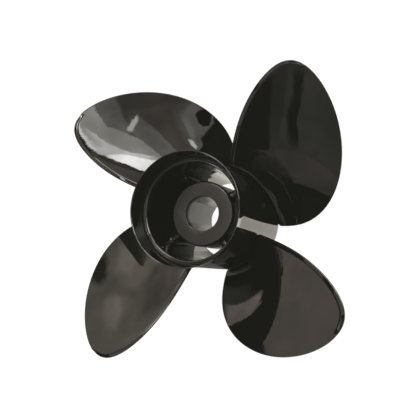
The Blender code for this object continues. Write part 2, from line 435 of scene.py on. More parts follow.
def level_ring(name, lift, radii, cover, start, end, light):
    """Part of a level ring above the sheet. Its cover may change from radius to radius."""
    steps = max(2, round((end - start) / RING_STEP))
    turns = [math.radians(start + (end - start) * k / steps) for k in range(steps + 1)]
    places = [(r * math.cos(a), r * math.sin(a), SHEET_Z) for r in radii for a in turns]
    covers = [share for share in cover for turn in turns]
    row = steps + 1
    faces = [
        (low + k, low + row + k, low + row + k + 1, low + k + 1)
        for low in range(0, row * (len(radii) - 1), row)
        for k in range(steps)
    ]
    ring = lit_surface(name, places, faces, covers, light, SHEET_WHITE)
    ring.location.z = lift


for start, end, radius, soft_radius, light in SHEET_SECTORS:
    radii = (SHEET_MIDDLE_RADIUS, radius, soft_radius)
    level_ring(f"sheet_{start % 360}", 0.0, radii, (1.0, 1.0, 0.0), start, end, light)
for ring in LEVEL_RINGS:
    level_ring(*ring)
count_lit_surfaces()

# %% [markdown]
# ## What the upper left blade mirrors
# This blade faces the big soft box, so it is the brightest. Round the soft box are a grey
# wall and a brown one. A stand shows as a black spot near the blade's root, with a lit
# stretch of wall beyond it.

# %% Hang the cards in front
hang("brown_wall", 0.82, BROWN_GREY, 0.06, 0, [
    (6, 36), (75, 28), (75, 66), (40, 76), (-12, 70), (-10, 57), (0, 50)])
hang("brown_wall_top", 0.55, BROWN_GREY, 0.12, 1, [
    (38, 63), (38, 80), (-30, 80), (-12, 58), (0, 60), (20, 61)])
hang("grey_wall", 1.75, PALE_GREY, 0.12, 1, [
    (23.5, 40), (38, 40), (40, 58), (34, 62), (27, 60), (23.5, 52)])
hang("grey_wall_far", 1.8, PALE_GREY, 0.12, 2, [(37, 56), (50, 57), (56, 61), (56, 66), (37, 66)])
hang("grey_wall_high", 1.5, PALE_GREY, 0.2, 3, [(37, 64), (58, 64), (62, 76), (40, 76)])
hang("pale_wall", 4.4, PALE_GREY, 0.06, 4, [
    (37, 37), (37, 45), (37.3, 49), (37.5, 52), (40, 54.8), (43, 57.2), (47, 59.7), (50, 61),
    (51, 63.5), (52, 66), (60, 72), (68, 72), (67, 50), (65, 37), (50, 35)])
hang("soft_box_glow", 9.0, SOFT_WHITE, 0.5, 5, [
    (38, 37), (40, 42), (45, 45), (49, 48.5), (53, 52.5), (55, 57), (59, 59), (62, 62), (64, 65),
    (66, 65), (64, 54), (58, 43), (48, 37)])
hang("soft_box", 16.0, SOFT_WHITE, 0.12, 6, [
    (38, 34), (40, 38.5), (44, 40.5), (48, 43.5), (51, 47), (53.5, 49.5), (58, 52), (63, 53.5),
    (62.5, 49), (60.5, 43), (57.8, 37), (56.8, 33), (46, 31)])
hang("soft_box_top", 8.5, SOFT_WHITE, 0.25, 5, [
    (53, 47), (52.5, 52), (54, 55), (58, 56), (61, 57), (63.5, 60), (65, 63), (67.3, 63), (66.2, 58),
    (64.8, 54), (62.5, 51), (61, 47)])
hang("soft_box_tip", 12.0, SOFT_WHITE, 0.2, 6, [
    (63.5, 56), (64.2, 59), (65, 62), (65.8, 66), (67.8, 66), (67.2, 61), (66, 56.5)])
hang("brown_corner", 0.90, BROWN_GREY, 0.02, 7, [
    (56.6, 33), (57.6, 37), (59, 43), (59.8, 46), (61.2, 49), (62.8, 52), (64.6, 55), (65.9, 58),
    (66.9, 61), (67.6, 64), (69, 69), (75, 75), (100, 70), (100, 33)])
hang("soft_box_frame", 0.05, BROWN_GREY, 0.1, 8, [
    (66.3, 57), (67.0, 60), (67.8, 64), (69.2, 68), (75, 68), (71, 62), (69.5, 58)])
hang("soft_box_frame_foot", 0.35, BROWN_GREY, 0.1, 8, [
    (57.6, 37), (59, 43), (59.8, 46), (61.2, 49), (62.8, 52), (64.6, 55), (67, 55), (65.5, 51),
    (64, 47), (62.5, 43), (60.5, 37)])
hang("window_gap", 9.0, SOFT_WHITE, 0.3, 5, [
    (28.5, 61.5), (31, 60.9), (36, 59.9), (42.5, 57.3), (40.8, 55.9), (35, 57.7), (30, 59.3)])
hang("lit_wall_glow", 1.05, PALE_GREY, 0.5, 6, [
    (-12, 62), (6, 59), (11, 52), (14, 45), (13, 37), (0, 37), (-6, 50)])
hang("lit_wall", 1.5, PALE_GREY, 0.15, 7, [
    (-13, 61), (-3, 57.5), (2, 56.5), (5, 50.5), (8, 44), (9, 40), (8, 35), (2, 38), (-1, 43),
    (-12, 47), (-20, 49.5), (-23, 52), (-21, 54), (-16, 57)])
hang("lit_wall_ridge", 2.3, PALE_GREY, 0.6, 8, [
    (4, 55.5), (-2, 55), (-3, 49), (1, 45), (4, 41.5), (8.5, 41.5), (6.5, 46), (4, 51)])
hang("black_stand", 1.0, BLACK, 0.1, 8, [
    (-7.5, 54.5), (-6.5, 51), (-9, 48.6), (-14, 48.6), (-18.5, 50.5), (-20.5, 53.5), (-18, 56),
    (-12, 56)])
hang("lit_wall_foot", 9.0, SOFT_WHITE, 0.4, 9, [
    (5.5, 44.5), (9.5, 45), (11, 41), (9.5, 37.5), (6, 39.5)])
count_lit_surfaces()

# %% [markdown]
# ## What the upper right blade mirrors
# It faces away from the lights and sees only a dim grey wall with a dark upright in it,
# and a brownish strip along the foot of the wall.

# %% Hang the dim cards
hang("dim_wall", 0.34, PALE_GREY, 0.04, 0, [
    (-82.5, 26), (-83.5, 50), (-86, 66), (-132, 66), (-132, 18), (-100, 18)])
hang("dim_wall_left", 0.20, PALE_GREY, 0.35, 1, [
    (-81, 34), (-82, 50), (-85, 66), (-92, 66), (-90, 50), (-89, 34)])
hang("dim_wall_brown", 0.45, BROWN_GREY, 0.4, 1, [(-94, 64), (-95, 52), (-101, 50), (-112, 60)])
hang("dark_upright", 0.0, BLACK, 0.35, 2, [
    (-91.0, 61), (-92.0, 52.5), (-90.5, 44), (-93.0, 37), (-96, 33.5), (-101, 33.5), (-98, 38),
    (-96.5, 44), (-96.8, 52.5), (-95.6, 61)])
hang("dim_wall_foot", 0.34, PALE_GREY, 0.08, 1, [
    (-8, 17), (-22, 21.5), (-41, 26), (-62, 28.5), (-83, 30.5), (-100, 31), (-100, 22), (-92, 21.5),
    (-67, 20.5), (-40, 19), (-8, 15.5)])
hang("dim_brown_foot", 0.56, BROWN_GREY, 0.12, 3, [
    (-15, 17), (-30, 20.5), (-50, 24), (-67, 26), (-92, 28), (-101, 33), (-112, 33), (-128, 32.5),
    (-121, 28), (-117, 24.8), (-111.5, 22.8), (-92, 22), (-67, 21), (-40, 19)])
count_lit_surfaces()

# %% [markdown]
# ## What the two lower blades mirror
# They look at the room behind. The left one sees a wide olive-brown wall, a little uneven
# and crossed by a dark beam. The right one sees a lower stretch of wall with a sill in
# front of it. Ledges run above both.

# %% Hang the cards behind
hang("olive_wall", 1.40, OLIVE_GREY, 0.05, 0, [
    (98, 44), (98, 20), (120, 5), (150, -28), (166, -28), (166, 44)])
hang("olive_wall_bright", 1.85, OLIVE_GREY, 0.4, 1, [
    (131, 34.5), (138, 35), (145, 34), (147, 30), (141, 27), (134, 28)])
hang("olive_wall_near", 2.0, OLIVE_GREY, 0.45, 1, [
    (106, 37), (114, 33.8), (124, 32.5), (131, 24), (126, 18), (114, 24)])
hang("olive_wall_low", 0.70, BROWN_GREY, 0.3, 1, [
    (128, 15), (136, 21), (142, 24), (149, 24), (156, 14), (160, 2), (158, -28), (146, -28), (134, 5)])
hang("dark_beam", 0.1, BROWN_GREY, 0.5, 3, [
    (112, 38), (119, 43), (126, 41.5), (130, 36), (127, 33.6), (119, 35)])
hang("beam_shade", 1.1, OLIVE_GREY, 0.7, 2, [
    (124, 39), (130.5, 35), (135, 30), (140, 23.5), (147, 17), (146, 13.5), (137, 20), (131, 26),
    (126, 31), (120, 35)])
hang("brown_wall_behind", 0.90, BROWN_GREY, 0.05, 0, [
    (183, 2), (186, 28.5), (215, 28.5), (215, 3), (209, 3), (204.5, 5.2), (199, 4.5)])
hang("brown_sill", 1.2, BROWN_GREY, 0.25, 1, [
    (171, 1), (171, 13), (181, 10), (183.5, 6.8), (186.5, 4.8), (190, 2.8), (194, 0.5), (193.5, -1),
    (190, -1.2), (186, -0.8), (181, 0)])
hang("brown_sill_shade", 0.16, PALE_GREY, 0.5, 0, [
    (166, -12), (166, 12), (176, 12), (192, 3), (190, -10)])
hang("brown_ledge", 0.90, BROWN_GREY, 0.05, 0, [(156, 36.8), (156, 50), (186, 48), (186, 36.8)])
hang("olive_ledge", 1.8, PALE_GREY, 0.08, 2, [(112, 45), (112, 60), (155, 63), (155, 48), (140, 45)])
hang("grey_ledge", 0.9, PALE_GREY, 0.1, 1, [
    (-152, 46), (-150, 60), (-112, 64), (-108, 52), (-128, 46)])
count_lit_surfaces()

# %% [markdown]
# ## The ceiling
# Level faces, such as the aft face of the hub, mirror the ceiling. It is brown grey and
# gets lighter towards the middle. Two lamps hang in front of it.

# %% Hang the ceiling
hang("ceiling", 1.05, BROWN_GREY, 0.05, 0, [
    (140, 60), (180, 57), (220, 60), (235, 74), (280, 80), (0, 75), (60, 73), (110, 76)])
hang("ceiling_middle", 1.45, BROWN_GREY, 0.5, 1, [(165, 71), (195, 71), (240, 80), (0, 80), (120, 80)])
hang("ceiling_lamp", 8.0, PALE_GREY, 0.2, 2, [(-10, 69.5), (70, 69.5), (70, 74), (-10, 74)])
hang("ceiling_lamp_far", 15.0, PALE_GREY, 0.1, 3, [
    (76, 66), (78, 73.5), (100, 72), (121, 71), (139, 64), (133, 58), (118, 62), (104, 60), (86, 61)])
count_lit_surfaces()

# %% [markdown]
# ## The low walls
# Rims, fillets and rounded edges turn through so many directions that they also mirror
# what stands low down in the room, such as a lit wall or a side window. It shows as thin
# light lines along them. Each line of numbers is one stretch of wall: where it starts and
# ends round the room, its lower and upper edge, its light and its layer. A narrow sill
# above them lights the fillet at the root of the upper right blade.

# %% Hang the low walls
LOW_WALLS = (
    (-62, -30, -8, -1, 4.0, -2),
    (-30, 15, -14, 6, 6.5, -2),
    (-98, -72, -34, -14, 8.0, -2),
    (28, 48, -10, 30, 10.0, -2),
    (48, 70, -10, 30, 10.0, -2),
    (78, 106, 2, 48, 7.0, 8),
    (214, 232, 17, 46, 8.0, -2),
)
LOW_WALL_SOFT = 0.03
for number, (start, end, low, high, light, layer) in enumerate(LOW_WALLS, 1):
    corners = [(start, low), (end, low), (end, high), (start, high)]
    hang(f"low_wall_{number}", light, PALE_GREY, LOW_WALL_SOFT, layer, corners)
hang("low_sill", 8.0, PALE_GREY, 0.3, -1, [
    (28, 19.5), (18, 16), (10, 14.4), (4, 12.7), (0, 10.3), (-6, 6.8), (-8, 4.6), (-2, 5.6), (1, 8),
    (5, 10.9), (10, 11.8), (17, 13), (27, 14)])
count_lit_surfaces()

# %% [markdown]
# ## The paint
# The finish is a hard gloss enamel over a casting that was ground smooth by hand. Three
# things make it more than plain black: the gloss varies a little from place to place,
# long shallow waves are left by the grinding belt, and the sprayed film has a fine orange
# peel. The waves show only in how they bend what the paint mirrors. They could be part of
# the mesh, but bump nodes do the same with far fewer faces.

# %% Mix the gloss black paint
PAINT_COLOUR = (0.0028, 0.0030, 0.0022)
PAINT_COLOUR_WORN = (0.0042, 0.0042, 0.0034)
PATCH_SCALE = 30.0
PATCH_DETAIL = 4.0
PATCH_ROUGHNESS = 0.6
WAVE_SCALE = 45.0
WAVE_DEPTH = 0.000070
RIPPLE_SCALE = 330.0
RIPPLE_DEPTH = 0.0000060
RELIEF_DETAIL = 2.0
PEEL_SCALE = 1500.0
PEEL_DEPTH = 0.0000003
PEEL_DETAIL = 1.0
PAINT_INDEX = 1.5


def relief(tree, scale, detail, depth, under=None):
    """Small hills of one depth, laid over the relief under them."""
    bump = tree.nodes.new("ShaderNodeBump")
    bump.inputs["Distance"].default_value = depth
    tree.links.new(noise(tree, scale, detail), bump.inputs["Height"])
    if under is not None:
        tree.links.new(under, bump.inputs["Normal"])
    return bump.outputs["Normal"]


def black_paint(name, roughness, scale=RIPPLE_SCALE, depth=RIPPLE_DEPTH, index=PAINT_INDEX):
    """Black enamel with slight waves, orange peel and an uneven gloss."""
    mat = bpy.data.materials.new(name)
    mat.use_nodes = True
    tree = mat.node_tree
    shader = tree.nodes["Principled BSDF"]
    shader.inputs["IOR"].default_value = index
    patches = noise(tree, PATCH_SCALE, PATCH_DETAIL, PATCH_ROUGHNESS)
    tint = tree.nodes.new("ShaderNodeMix")
    tint.data_type = "RGBA"
    # In a colour mix, inputs 6 and 7 are the two colours and output 2 is the mixed one.
    tint.inputs[6].default_value = (*PAINT_COLOUR, 1.0)
    tint.inputs[7].default_value = (*PAINT_COLOUR_WORN, 1.0)
    tree.links.new(patches, tint.inputs[0])
    tree.links.new(tint.outputs[2], shader.inputs["Base Color"])
    tree.links.new(spread(tree, patches, *roughness), shader.inputs["Roughness"])
    waves = relief(tree, WAVE_SCALE, RELIEF_DETAIL, WAVE_DEPTH)
    ripples = relief(tree, scale, RELIEF_DETAIL, depth, waves)
    peel = relief(tree, PEEL_SCALE, PEEL_DETAIL, PEEL_DEPTH, ripples)
    tree.links.new(peel, shader.inputs["Normal"])
    return mat


print(f"waves in the paint {WAVE_DEPTH * 1000:.2f} mm deep")

# %% [markdown]
# ## Four finishes
# One recipe gives all the kinds of black: high gloss outside, satin on the hub's machined
# face, a duller film over the raw cast skin inside the passages, and a half gloss in the
# socket. The cast skin's low reflectance is partly its real dull film and partly painted
# shade, which darkens the webs and the hub's outside deep in the passages.

# %% Mix the four finishes
GLOSS_ROUGHNESS = (0.015, 0.045)
SATIN_ROUGHNESS = (0.28, 0.34)
CAST_ROUGHNESS = (0.10, 0.20)
CAST_SCALE = 420.0
CAST_DEPTH = 0.00030
# The low index is partly the cast skin's dull film and partly painted shade that darkens the passages.
CAST_DULLNESS_AND_SHADE_INDEX = 1.25
SOCKET_ROUGHNESS = (0.20, 0.26)
paint = black_paint("gloss_black_paint", GLOSS_ROUGHNESS)
satin_paint = black_paint("satin_black_paint", SATIN_ROUGHNESS)
cast_skin_and_shade_paint = black_paint("black_paint_on_cast_skin", CAST_ROUGHNESS, CAST_SCALE, CAST_DEPTH, CAST_DULLNESS_AND_SHADE_INDEX)
socket_paint = black_paint("black_paint_in_socket", SOCKET_ROUGHNESS)
print("nodes in each paint:", len(paint.node_tree.nodes))

# %% [markdown]
# ## Helpers for turned pieces
# The barrel, the aft ring and the hub were turned or cored about one axis. Blender could
# make them with the Screw modifier or with bmesh's spin. Here the rings of points are
# written straight into a mesh, because a round shape with a long profile is then one
# short loop, and the count of points round the axis can be as high as a mirror needs.

# %% Turn a profile about the axis
ROUND_SEGMENTS = 288
ROUND_TURNS = [2.0 * math.pi * k / ROUND_SEGMENTS for k in range(ROUND_SEGMENTS)]
SMOOTH_ANGLE = math.radians(40.0)
BLADE_SMOOTH_ANGLE = math.radians(120.0)


def paint_object(name, verts, faces):
    """A smooth, painted mesh in the scene."""
    mesh = bpy.data.meshes.new(name)
    mesh.from_pydata([tuple(v) for v in verts], [], faces)
    mesh.validate()
    bm = bmesh.new()
    bm.from_mesh(mesh)
    bmesh.ops.recalc_face_normals(bm, faces=bm.faces)
    bm.to_mesh(mesh)
    bm.free()
    mesh.materials.append(paint)
    mesh.shade_smooth()
    mesh.set_sharp_from_angle(angle=SMOOTH_ANGLE)
    obj = bpy.data.objects.new(name, mesh)
    bpy.context.scene.collection.objects.link(obj)
    return obj


def turned(profile):
    """Points and faces of a closed (radius, height) profile turned about the axis."""
    verts = [(r * math.cos(a), r * math.sin(a), z) for a in ROUND_TURNS for r, z in profile]
    faces = closed_rows(ROUND_SEGMENTS + 1, len(profile))
    return verts, [tuple(point % len(verts) for point in face) for face in faces]


def arc(centre, radius, start_deg, end_deg, steps):
    """Points of a circular arc in the (radius, height) plane."""
    turns = [math.radians(start_deg + (end_deg - start_deg) * k / steps) for k in range(steps + 1)]
    return [(centre[0] + radius * math.cos(a), centre[1] + radius * math.sin(a)) for a in turns]


def between(start, end, steps):
    """Points on a straight line, without its two ends."""
    return [
        (start[0] + (end[0] - start[0]) * k / steps, start[1] + (end[1] - start[1]) * k / steps)
        for k in range(1, steps)
    ]


print("points round the axis:", ROUND_SEGMENTS)

# %% [markdown]
# ## The barrel
# The barrel is a plain tube with a slight draft, which let the casting leave its mould:
# the outside gets narrower and the bore wider towards the aft end. Its front rim is
# rounded. A cylinder with a bevel would look alike, but the profile keeps the draft.

# %% Make the barrel
RIM_ROUND = 0.0012


def barrel_outer(z):
    """Outer radius of the barrel at a height."""
    return BARREL_FRONT_RADIUS + (BARREL_AFT_RADIUS - BARREL_FRONT_RADIUS) * z / BARREL_LENGTH


def barrel_bore(z):
    """Inner radius of the barrel at a height."""
    return BORE_FRONT_RADIUS + (BORE_AFT_RADIUS - BORE_FRONT_RADIUS) * z / BARREL_LENGTH


def make_barrel():
    """The outer tube with a rounded front rim."""
    outer_low = (barrel_outer(RIM_ROUND), RIM_ROUND)
    outer_high = (BARREL_AFT_RADIUS, BARREL_LENGTH)
    inner_high = (BORE_AFT_RADIUS, BARREL_LENGTH)
    inner_low = (barrel_bore(RIM_ROUND), RIM_ROUND)
    profile = arc((outer_low[0] - RIM_ROUND, RIM_ROUND), RIM_ROUND, -90, 0, steps=6)
    profile += between(outer_low, outer_high, steps=24) + [outer_high, inner_high]
    profile += between(inner_high, inner_low, steps=24)
    profile += arc((inner_low[0] + RIM_ROUND, RIM_ROUND), RIM_ROUND, 180, 270, steps=6)
    return paint_object("barrel_shell", *turned(profile))


barrel = make_barrel()
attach(barrel, "root")
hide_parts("barrel")
print("barrel faces:", len(barrel.data.polygons))

# %% [markdown]
# ## The aft ring
# The barrel ends in a short flared skirt that helps the exhaust leave cleanly. Inside, at
# its foot, a shallow groove and a rounded bead run round the end of the bore. The rounded
# edges are thin, yet they carry the bright circles that show in the photograph.

# %% Make the aft ring
RIM_OUTER_ROUND = 0.0005
RIM_INNER_ROUND = 0.0009
BEAD_INNER_ROUND = 0.0018
BEAD_OUTER_ROUND = 0.0007
GROOVE_ROUND = 0.0008
FLARE_START = 0.0040
FLARE_POWER = 1.6
FLARE_STEPS = 16


def ring_flare(low, high):
    """The outside of the skirt between two heights. It starts straight and then flares."""
    grow = RING_OUTER_RADIUS - BARREL_AFT_RADIUS
    shares = [k / FLARE_STEPS for k in range(FLARE_STEPS + 1)]
    return [(BARREL_AFT_RADIUS + grow * t ** FLARE_POWER, low + (high - low) * t) for t in shares]


def make_aft_ring():
    """The flared skirt with a rounded rim, and the groove and bead at its foot."""
    rim_z = RING_AFT_Z - RIM_OUTER_ROUND
    profile = [(BARREL_AFT_RADIUS, BARREL_LENGTH)]
    profile += ring_flare(BARREL_LENGTH + FLARE_START, rim_z)
    rim_middle = RING_OUTER_RADIUS - RIM_OUTER_ROUND
    profile += arc((rim_middle, rim_z), RIM_OUTER_ROUND, 0, 90, steps=8)[1:]
    profile += arc((rim_middle, RING_AFT_Z - RIM_INNER_ROUND), RIM_INNER_ROUND, 90, 180, steps=10)[1:]
    groove = (GROOVE_RADIUS, BARREL_LENGTH + GROOVE_HEIGHT + GROOVE_ROUND)
    wall_foot = (GROOVE_RADIUS + GROOVE_ROUND, groove[1])
    profile += between(profile[-1], wall_foot, steps=12)
    profile += arc(groove, GROOVE_ROUND, 0, -120, steps=8)
    bead_top = BARREL_LENGTH + BEAD_HEIGHT
    bead_middle = BORE_AFT_RADIUS + BEAD_INNER_ROUND
    profile += arc((bead_middle, bead_top - BEAD_OUTER_ROUND), BEAD_OUTER_ROUND, 50, 90, steps=5)
    inner = (bead_middle, bead_top - BEAD_INNER_ROUND)
    profile += arc(inner, BEAD_INNER_ROUND, 90, 180, steps=12)[1:]
    profile += [(BORE_AFT_RADIUS, BARREL_LENGTH)]
    return paint_object("aft_ring", *turned(profile))


aft_ring = make_aft_ring()
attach(aft_ring, "root")
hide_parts("diffuser_ring")
print("aft ring faces:", len(aft_ring.data.polygons))

# %% [markdown]
# ## The hub and its socket
# The inner tube carries the propeller shaft. From the aft end it has a flat face with a
# rounded edge, a short round bore, and then a hexagonal socket whose corners run out
# under the round lip. Boolean cuts do to the mesh what the cutters did to the metal. The
# cutters are closed bodies: two round ones and a six-sided prism.

# %% Shape the cutters
HEX_CORNER_ROUND = 0.0006
HEX_CORNER_STEPS = 4


def end_faces(rows, count):
    """The two faces that close a body made of rows of points."""
    return [tuple(range(count)), tuple(range((rows - 1) * count, rows * count))]


def solid_of_rings(name, profile):
    """A closed round body between two flat ends."""
    verts = [(r * math.cos(a), r * math.sin(a), z) for r, z in profile for a in ROUND_TURNS]
    size = (len(profile), ROUND_SEGMENTS)
    return paint_object(name, verts, closed_rows(*size) + end_faces(*size))


def hexagon_outline():
    """The outline of the socket, a hexagon with small rounded corners."""
    points = []
    sixth = math.pi / 3.0
    corner = (HEX_INRADIUS - HEX_CORNER_ROUND) / math.cos(sixth / 2.0)
    for middle in [HEX_ANGLE + side * sixth for side in range(6)]:
        centre = (corner * math.cos(middle), corner * math.sin(middle))
        start, end = math.degrees(middle - sixth / 2.0), math.degrees(middle + sixth / 2.0)
        points += arc(centre, HEX_CORNER_ROUND, start, end, HEX_CORNER_STEPS)
    return points


def prism(name, outline, low, high):
    """An upright prism over an outline."""
    verts = [(x, y, z) for z in (low, high) for x, y in outline]
    count = len(outline)
    return paint_object(name, verts, end_faces(2, count) + closed_rows(2, count))


def cut_away(body, tool):
    """Take the tool's shape out of a body for good."""
    modifier = body.modifiers.new(tool.name, "BOOLEAN")
    modifier.operation = "DIFFERENCE"
    modifier.solver = "EXACT"
    modifier.object = tool
    bpy.context.view_layer.update()
    graph = bpy.context.evaluated_depsgraph_get()
    mesh = bpy.data.meshes.new_from_object(body.evaluated_get(graph))
    body.modifiers.clear()
    body.data = mesh
    bpy.data.objects.remove(tool, do_unlink=True)


print("points in the outline of the socket:", len(hexagon_outline()))

# %% [markdown]
# ## The cuts in the hub
# Each cutter reaches past the face that it enters by, so that no thin skin is left there,
# and the prism reaches a little into the round bore for the same reason.

# %% Make the hub
HUB_EDGE_ROUND = 0.0020
LIP_CHAMFER = 0.0006
SOCKET_OVERLAP = 0.0002
CUT_PAST = 0.01


def hub_outer(z):
    """Outer radius of the hub at a height, with its casting draft."""
    share = (z - HUB_FRONT_Z) / (HUB_AFT_Z - HUB_FRONT_Z)
    return HUB_FRONT_RADIUS + (HUB_AFT_RADIUS - HUB_FRONT_RADIUS) * share


def make_hub():
    """The inner tube with its lip bore, hexagonal socket and front bore."""
    edge = (HUB_AFT_RADIUS - HUB_EDGE_ROUND, HUB_AFT_Z - HUB_EDGE_ROUND)
    profile = arc((HUB_FRONT_RADIUS - RIM_ROUND, HUB_FRONT_Z + RIM_ROUND), RIM_ROUND, -90, 0, steps=4)
    profile += between(profile[-1], (HUB_AFT_RADIUS, edge[1]), steps=12)
    profile += arc(edge, HUB_EDGE_ROUND, 0, 90, steps=10)
    hub = solid_of_rings("hub_tube", profile)
    socket_top = HUB_AFT_Z - LIP_DEPTH
    lip = [(LIP_BORE_RADIUS, socket_top), (LIP_BORE_RADIUS, HUB_AFT_Z - LIP_CHAMFER)]
    chamfer = (LIP_BORE_RADIUS + LIP_CHAMFER, HUB_AFT_Z - LIP_CHAMFER)
    lip += arc(chamfer, LIP_CHAMFER, 180, 90, steps=5)[1:]
    lip += [(LIP_BORE_RADIUS + LIP_CHAMFER, HUB_AFT_Z + CUT_PAST)]
    cut_away(hub, solid_of_rings("lip_cutter", lip))
    below = HUB_FRONT_Z - CUT_PAST
    front = [(FRONT_BORE_RADIUS, below), (FRONT_BORE_RADIUS, HUB_FRONT_Z + FRONT_BORE_DEPTH)]
    cut_away(hub, solid_of_rings("front_cutter", front))
    cut_away(hub, prism("socket_cutter", hexagon_outline(), below, socket_top + SOCKET_OVERLAP))
    hub.data.shade_smooth()
    hub.data.set_sharp_from_angle(angle=SMOOTH_ANGLE)
    return hub


hub = make_hub()
print("hub faces:", len(hub.data.polygons))

# %% [markdown]
# ## The hub's finishes
# The hub was machined flat at its aft end and left as cast on its outside. One mesh can
# carry several paints, so each face is given the number of its own.

# %% Give each face of the hub its finish
LEVEL_NORMAL = 0.9995
STEEP_NORMAL = 0.5
WALL_TOLERANCE = 0.0002
SOCKET_MARGIN = 0.004


def hub_finish(face):
    """Number of a face's finish: 0 gloss, 1 satin, 2 cast skin with painted shade, 3 socket."""
    radius = math.hypot(face.center.x, face.center.y)
    if face.normal.z > LEVEL_NORMAL:
        return 1
    if radius > HUB_AFT_RADIUS - WALL_TOLERANCE and face.normal.z < STEEP_NORMAL:
        return 2
    if radius < LIP_BORE_RADIUS + SOCKET_MARGIN and abs(face.normal.z) < STEEP_NORMAL:
        return 3
    return 0


hub.data.materials.clear()
for mat in (paint, satin_paint, cast_skin_and_shade_paint, socket_paint):
    hub.data.materials.append(mat)
for face in hub.data.polygons:
    face.material_index = hub_finish(face)
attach(hub, "root")
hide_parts("inner_hub")
print("satin faces on the hub:", sum(face.material_index == 1 for face in hub.data.polygons))

# %% [markdown]
# ## The four webs
# Webs join the hub to the barrel and leave four passages for the exhaust. Each one is
# flat-sided, swells where it runs into the round walls, and has cast, rounded ends. It
# could be a box with bevels. A loft of outlines gives the swelling and the rounding at
# once.

# %% Make the webs
RIB_SINK = 0.0004
RIB_END_ROUND = 0.0041
RIB_GLOSS_DEPTH = RIB_END_ROUND / 2.0
RIB_LEVELS = 10


def rib_outline(z, thin):
    """Outline of a web at a height, thinner by some amount on each side."""
    inner = hub_outer(z) - RIB_SINK
    outer = barrel_bore(z) + RIB_SINK
    half = RIB_THICKNESS / 2.0 - thin
    side = half + RIB_FILLET
    points = arc((inner + RIB_FILLET, side), RIB_FILLET, 180, 270, steps=8)
    points += arc((outer - RIB_FILLET, side), RIB_FILLET, 270, 360, steps=8)
    loop = points + [(r, -w) for r, w in reversed(points)]
    return [(math.sqrt(r * r - w * w), w) for r, w in loop]


def rib_levels():
    """Heights of the outlines, and how much each is thinned near the two ends."""
    turns = [math.pi / 2.0 * k / RIB_LEVELS for k in range(RIB_LEVELS + 1)]
    end = [(RIB_END_ROUND * (1.0 - math.cos(a)), RIB_END_ROUND * (1.0 - math.sin(a))) for a in turns]
    front = [(RIB_FRONT_Z + inset, thin) for inset, thin in end]
    return front + [(RIB_AFT_Z - inset, thin) for inset, thin in reversed(end)]


def make_rib(number):
    """One web, turned to its place."""
    angle = RIB_ANGLE + (number - 1) * 2.0 * math.pi / BLADE_COUNT
    cos_a, sin_a = math.cos(angle), math.sin(angle)
    verts = []
    levels = rib_levels()
    for z, thin in levels:
        verts += [(x * cos_a - y * sin_a, x * sin_a + y * cos_a, z) for x, y in rib_outline(z, thin)]
    size = (len(levels), len(verts) // len(levels))
    web = paint_object(f"web_{number}", verts, closed_rows(*size) + end_faces(*size))
    # The webs take the cast-skin paint, whose low reflectance is partly painted shade deep in the
    # passages.
    web.data.materials[0] = cast_skin_and_shade_paint
    web.data.materials.append(paint)
    for face in web.data.polygons:
        if face.center.z > RIB_AFT_Z - RIB_GLOSS_DEPTH:
            face.material_index = 1
    return web


for number in range(1, BLADE_COUNT + 1):
    web = make_rib(number)
    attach(web, "root")
    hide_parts(f"rib_{number}")
print("webs:", BLADE_COUNT)

# %% [markdown]
# ## The blade's faces
# Each blade is part of a screw. Its aft face, which pushes the water, is a screw surface:
# at each radius the height grows in step with the angle about the axis. Series give the
# blade's width, its sweep and its rake at each radius, and the thickness is laid off on
# the front side. A sculpted or subdivided sheet could come close, but a mirror finish
# shows the least dent, so each point is computed.

# %% Compute points of the aft face
def series(terms, x, first_power):
    """Sum of terms times rising powers of x."""
    return sum(term * x ** (first_power + k) for k, term in enumerate(terms))


def blade_span(radius):
    """How far out a radius is: 0 at the barrel's wall, 1 at the tip."""
    return (radius - BARREL_AFT_RADIUS) / (TIP_RADIUS - BARREL_AFT_RADIUS)


def blade_angle(radius, across):
    """Angle about the axis, from the leading edge (-1) to the trailing edge (+1)."""
    span = blade_span(radius)
    narrowing = np.sqrt(np.maximum(1.0 - np.maximum(span, 0.0) ** WIDTH_TIP_POWER, 0.0))
    return series(SKEW_TERMS, span, 1) + across * series(WIDTH_TERMS, span, 0) * narrowing


def blade_lead(radius):
    """Advance along the axis for each radian of turn."""
    return (PITCH + PITCH_RISE * (blade_span(radius) - 0.5)) / (2.0 * math.pi)


def blade_height(radius, angle):
    """Height of the aft face."""
    lift = RAKE_START + series(RAKE_TERMS, radius - BARREL_AFT_RADIUS, 1)
    return lift + blade_lead(radius) * angle


def on_face(radius, across):
    """Points of the aft face in space."""
    angle = blade_angle(radius, across)
    return np.stack([radius * np.cos(angle), radius * np.sin(angle), blade_height(radius, angle)], -1)


print(f"blade tip {on_face(TIP_RADIUS, 0.0)[2] * 1000:.1f} mm above the front rim")

# %% [markdown]
# ## The blade's edges
# Both edges are ground round after casting. Along the trailing edge the belt also leaves
# a narrow bevel on the aft face, which catches the light as a thin strip all the way
# round the tip. How far each point is from the outline decides how much it is lowered.

# %% Shape the edges
EDGE_ROUND_LEADING = 0.0010
EDGE_ROUND_TRAILING = 0.0009
EDGE_SQUARENESS = 3.5
BEVEL_WIDTH = 0.0036
BEVEL_SLOPE = math.tan(math.radians(22.0))
BEVEL_SOFTNESS = 0.0004
TRAILING_BLEND = 0.8
OUTLINE_START = BARREL_AFT_RADIUS - 0.004
OUTLINE_STEPS = 360
TIP_CROWDING = 2.5
TINY = 1e-18


def crowd(share, power):
    """A share from 0 to 1 that moves in ever smaller steps as it nears 1."""
    return 1.0 - (1.0 - share) ** power


def outline_points():
    """The blade's outline from root to tip and back, along both edges."""
    shares = crowd(np.linspace(0.0, 1.0, OUTLINE_STEPS), TIP_CROWDING)
    radii = OUTLINE_START + (TIP_RADIUS - OUTLINE_START) * shares
    leading = on_face(radii, -1.0)
    trailing = on_face(radii[::-1], 1.0)
    return np.concatenate([leading, trailing[1:]])


